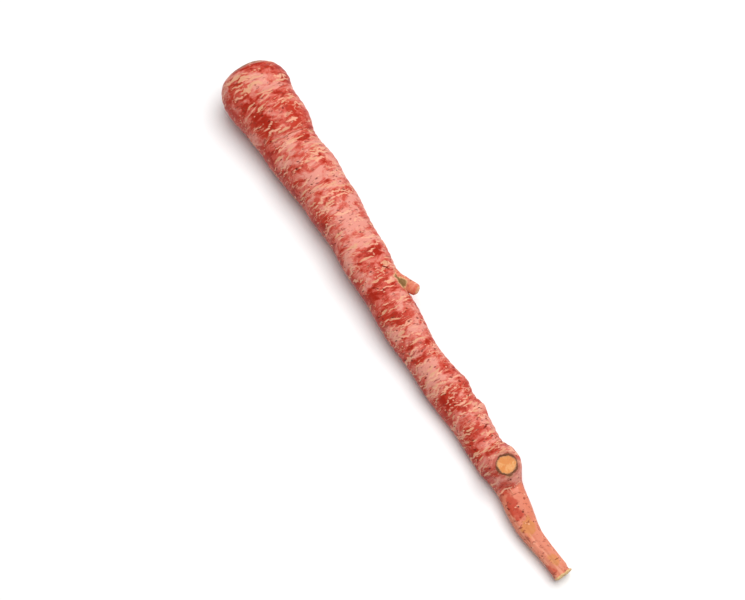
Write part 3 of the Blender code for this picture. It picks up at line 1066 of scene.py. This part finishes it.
def make_fibres(settings, material):
    """Torn fibres: short tapering tubes that stand on the cut stalks and curl outwards."""
    rng = np.random.default_rng(17)
    count, share = settings.fibres, np.linspace(0, 1, 6)
    ring = rng.integers(0, 2, count)
    middle = np.where(ring == 0, 5.45, 3.15) + rng.uniform(-0.7, 0.7, count)
    turn = rng.uniform(0, 2 * np.pi, count)
    tall = rng.uniform(0.3, 1.0, count) * settings.fibre_length / 0.001
    low = np.where(ring == 0, 3.6, 3.9) + rng.uniform(-0.5, 0.2, count)
    lean = rng.uniform(-0.5, 0.9, count)
    twist = rng.uniform(-0.25, 0.25, count)
    reach = middle[:, None] + lean[:, None] * share**2
    angle = turn[:, None] + twist[:, None] * share
    paths = np.stack([
        reach * np.cos(angle), reach * np.sin(angle), low[:, None] + tall[:, None] * share
    ], axis=-1)
    radii = rng.uniform(0.08, 0.17, count)[:, None] * (1.05 - share)
    points = tube_grids(paths, radii, 6)
    dark = np.broadcast_to(rng.uniform(0, 0.7, count)[:, None, None], points.shape[:3])
    fields = {"strip": points, "marks": np.stack([dark] * 4, axis=-1)}
    return surface("crown_fibres", in_crown(points), fields, material)


# ---------------------------------------------------------------- the add-on


class CarrotSettings(bpy.types.PropertyGroup):
    """What a user may change in the carrot's finish."""

    bloom_cover: FloatProperty(
        name="Bloom",
        description="How much of the skin the pale bloom covers",
        default=0.36,
        min=0.0,
        max=1.0,
        subtype="FACTOR",
    )
    scars: IntProperty(
        name="Scars", description="Corky scars across the skin", default=200, min=10, max=800
    )
    lines: IntProperty(
        name="Lines", description="Fine pale lines across the skin", default=300, min=1, max=900
    )
    pits: IntProperty(
        name="Pits", description="Small dark pits in the skin", default=300, min=1, max=900
    )
    dots: IntProperty(
        name="Dots", description="Small pale dots on the skin", default=420, min=1, max=900
    )
    fibres: IntProperty(
        name="Fibres", description="Torn fibres on the cut leaf stalks", default=150, min=1, max=400
    )
    fibre_length: FloatProperty(
        name="Fibre length",
        description="The longest fibre on the cut leaf stalks",
        default=0.0017,
        min=0.0003,
        max=0.005,
        unit="LENGTH",
        precision=4,
    )
    floor_colour: FloatVectorProperty(
        name="Floor",
        description="Colour of the floor",
        subtype="COLOR",
        min=0.0,
        max=1.0,
        default=srgb("#F7F7F7"),
    )


for key, shade, words in MAIN_COLOURS:
    CarrotSettings.__annotations__[key] = FloatVectorProperty(
        name=key.replace("_", " ").capitalize(),
        description=words,
        subtype="COLOR",
        min=0.0,
        max=1.0,
        default=srgb(shade),
    )


def look_of(settings):
    """Every colour by name: the lesser ones, and the main ones as the settings have them."""
    look = {name: srgb(shade) for name, shade in LESSER.items()}
    look.update((name, tuple(getattr(settings, name))) for name, _, _ in MAIN_COLOURS)
    return look


def shared(maker, name, settings):
    """The material of a name, made on its first use."""
    return bpy.data.materials.get(name) or maker(look_of(settings))


def skin_of(settings):
    """The root's skin, shared by the pieces that it runs over."""
    return shared(carrot_skin, "fresh_carrot_skin", settings)


def stalk_of(settings):
    """The dried stalk, shared by the leaf stalks, the bud and the fibres."""
    return shared(dry_stalk, "dried_leaf_stalk", settings)


class MakeSkin(bpy.types.Operator):
    """Make the root's skin, from the hollow in its crown to its cut tip"""

    bl_idname = "carrot.make_skin"
    bl_label = "Skin"

    def execute(self, context):
        settings = context.scene.carrot
        make_skin(settings, skin_of(settings))
        return {"FINISHED"}


class MakeCutSideRoot(bpy.types.Operator):
    """Make the cut face of the side root that was trimmed off"""

    bl_idname = "carrot.make_cut_side_root"
    bl_label = "Cut side root"

    def execute(self, context):
        make_cut_stump(shared(cut_flesh, "dried_cut_flesh", context.scene.carrot))
        return {"FINISHED"}


class MakeBrokenSideRoot(bpy.types.Operator):
    """Make the stump of the side root that broke off"""

    bl_idname = "carrot.make_broken_side_root"
    bl_label = "Broken side root"

    def execute(self, context):
        make_broken_stump(skin_of(context.scene.carrot))
        return {"FINISHED"}


class MakeRootlets(bpy.types.Operator):
    """Make the fine rootlets that lie on the skin"""

    bl_idname = "carrot.make_rootlets"
    bl_label = "Rootlets"

    def execute(self, context):
        make_rootlets(skin_of(context.scene.carrot))
        return {"FINISHED"}


class MakeLeafStalks(bpy.types.Operator):
    """Make the cut bases of the leaf stalks"""

    bl_idname = "carrot.make_leaf_stalks"
    bl_label = "Leaf stalks"

    def execute(self, context):
        for number, base in enumerate(STALK_BASES, 1):
            make_stalk(number, *base, stalk_of(context.scene.carrot))
        return {"FINISHED"}


class MakeCrownBud(bpy.types.Operator):
    """Make the bud between the leaf stalks"""

    bl_idname = "carrot.make_crown_bud"
    bl_label = "Crown bud"

    def execute(self, context):
        make_heart(stalk_of(context.scene.carrot))
        return {"FINISHED"}


class MakeCrownFibres(bpy.types.Operator):
    """Make the torn fibres on the cut leaf stalks"""

    bl_idname = "carrot.make_crown_fibres"
    bl_label = "Crown fibres"

    def execute(self, context):
        settings = context.scene.carrot
        make_fibres(settings, stalk_of(settings))
        return {"FINISHED"}


class MakeStage(bpy.types.Operator):
    """Make the floor, the light and the camera"""

    bl_idname = "carrot.make_stage"
    bl_label = "Stage"

    def execute(self, context):
        scene = context.scene
        scene.camera = add_camera(scene)
        add_floor(scene, scene.carrot.floor_colour)
        add_lights(scene)
        return {"FINISHED"}


OPERATORS = (
    MakeSkin,
    MakeCutSideRoot,
    MakeBrokenSideRoot,
    MakeRootlets,
    MakeLeafStalks,
    MakeCrownBud,
    MakeCrownFibres,
    MakeStage,
)


class CarrotPanel(bpy.types.Panel):
    """The carrot's settings, and a button for each of its pieces"""

    bl_idname = "VIEW3D_PT_carrot"
    bl_label = "Red Carrot"
    bl_space_type = "VIEW_3D"
    bl_region_type = "UI"
    bl_category = "Carrot"

    def draw(self, context):
        for name in CarrotSettings.__annotations__:
            self.layout.prop(context.scene.carrot, name)
        for operator in OPERATORS:
            self.layout.operator(operator.bl_idname)


CLASSES = (CarrotSettings, *OPERATORS, CarrotPanel)


def register():
    """Adds the settings, the operators and the panel."""
    for item in CLASSES:
        bpy.utils.register_class(item)
    bpy.types.Scene.carrot = PointerProperty(type=CarrotSettings)


def unregister():
    """Takes the settings, the operators and the panel away."""
    del bpy.types.Scene.carrot
    for item in reversed(CLASSES):
        bpy.utils.unregister_class(item)


# ---------------------------------------------------------------- the stage

# Degrees for the camera's turn and rise, metres for the rest.
CAMERA_TURN = 58.3
CAMERA_RISE = 70.0
CAMERA_AWAY = 0.8
CAMERA_AIM = (-0.0133, -0.00495, 0.0)
FLOOR_REACH = 3.0
LAMP_WIDTH = 1.1
LAMP_PLACE = (-0.03, 0.26, 1.12)
LAMP_WATTS = 15.5
ROOM_LIGHT = 0.30


def add_camera(scene):
    """The camera, high over the crown's side, with a long lens."""
    turn, rise = math.radians(CAMERA_TURN), math.radians(CAMERA_RISE)
    level = math.cos(rise)
    back = Vector((math.sin(turn) * level, -math.cos(turn) * level, math.sin(rise)))
    camera = bpy.data.objects.new("camera", bpy.data.cameras.new("camera"))
    scene.collection.objects.link(camera)
    camera.data.lens = 85
    camera.data.sensor_width = 36
    camera.location = Vector(CAMERA_AIM) + back * CAMERA_AWAY
    camera.rotation_euler = back.to_track_quat("Z", "Y").to_euler()
    return camera


def add_floor(scene, floor_colour):
    """A plain pale floor, wide enough to fill every view."""
    mesh = bpy.data.meshes.new("floor")
    reach = FLOOR_REACH
    corners = [(-reach, -reach, 0), (reach, -reach, 0), (reach, reach, 0), (-reach, reach, 0)]
    mesh.from_pydata(corners, [], [(0, 1, 2, 3)])
    floor = bpy.data.objects.new("floor", mesh)
    scene.collection.objects.link(floor)
    material, _, shader = new_material("white_paper")
    shader.inputs["Base Color"].default_value = (*floor_colour, 1)
    shader.inputs["Roughness"].default_value = 0.9
    mesh.materials.append(material)


def add_lights(scene):
    """One broad soft light overhead, a little to the carrot's +Y side, in a pale room."""
    key = bpy.data.objects.new("key", bpy.data.lights.new("key", "AREA"))
    scene.collection.objects.link(key)
    key.data.shape = "DISK"
    key.data.size = LAMP_WIDTH
    key.data.energy = LAMP_WATTS
    key.location = LAMP_PLACE
    key.rotation_euler = Vector(key.location).to_track_quat("Z", "Y").to_euler()
    world = bpy.data.worlds.new("studio")
    scene.world = world
    world.use_nodes = True
    background = world.node_tree.nodes["Background"]
    background.inputs["Color"].default_value = (1.0, 1.0, 1.0, 1.0)
    background.inputs["Strength"].default_value = ROOM_LIGHT
    scene.view_settings.view_transform = "Standard"


def main():
    """Makes every piece and the stage."""
    register()
    for operator in OPERATORS:
        group, name = operator.bl_idname.split(".")
        getattr(getattr(bpy.ops, group), name)()


if __name__ == "__main__":
    main()
